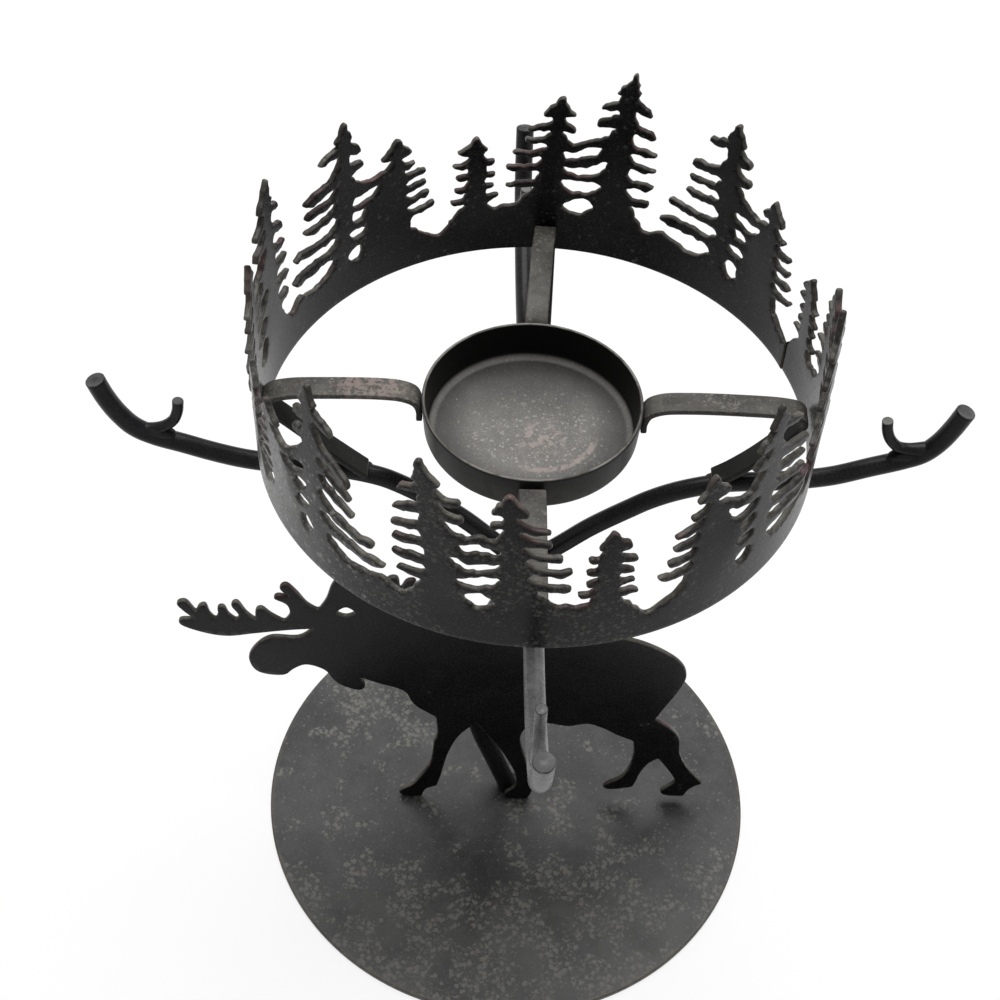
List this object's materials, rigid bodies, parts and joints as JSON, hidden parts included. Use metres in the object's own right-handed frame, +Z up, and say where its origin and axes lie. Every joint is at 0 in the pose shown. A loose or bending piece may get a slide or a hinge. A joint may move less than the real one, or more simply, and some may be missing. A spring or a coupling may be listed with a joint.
{
  "type": "moose tealight holder",
  "caption": "Steel table-top tealight holder: a pierced ring of pine trees and a shallow cup on rod branches above a flat moose and a round base.",
  "frame": {"origin": "centre of the base plate's underside, which is the bottom centre of the bounding box", "axes": "+Z up, the moose looks along -X and its flat side faces -Y, arms run along +X, +Y, -X and -Y"},
  "size_m": [0.166, 0.166, 0.179],
  "materials": {
    "charcoal_coat": "black coat with fine grey-brown speckle, satin",
    "worn_coat": "charcoal coat rubbed brown-grey in specks and patches, satin",
    "weld": "coated weld, slightly rough"
  },
  "bodies": {
    "root": {"base_plate": "worn_coat", "moose_plate": "charcoal_coat", "trunk_post": "charcoal_coat", "trunk_foot_weld": "weld", "hub_weld": "weld", "tree_ring": "charcoal_coat", "candle_cup": "worn_coat", "arm_right": "charcoal_coat", "twig_hook_right": "charcoal_coat", "strap_right": "worn_coat", "strap_weld_right": "weld", "twig_weld_right": "weld", "arm_back": "charcoal_coat", "twig_hook_back": "charcoal_coat", "strap_back": "worn_coat", "strap_weld_back": "weld", "twig_weld_back": "weld", "arm_left": "charcoal_coat", "twig_hook_left": "charcoal_coat", "strap_left": "worn_coat", "strap_weld_left": "weld", "twig_weld_left": "weld", "arm_front": "charcoal_coat", "twig_hook_front": "charcoal_coat", "strap_front": "worn_coat", "strap_weld_front": "weld", "twig_weld_front": "weld"}
  },
  "joints": []
}
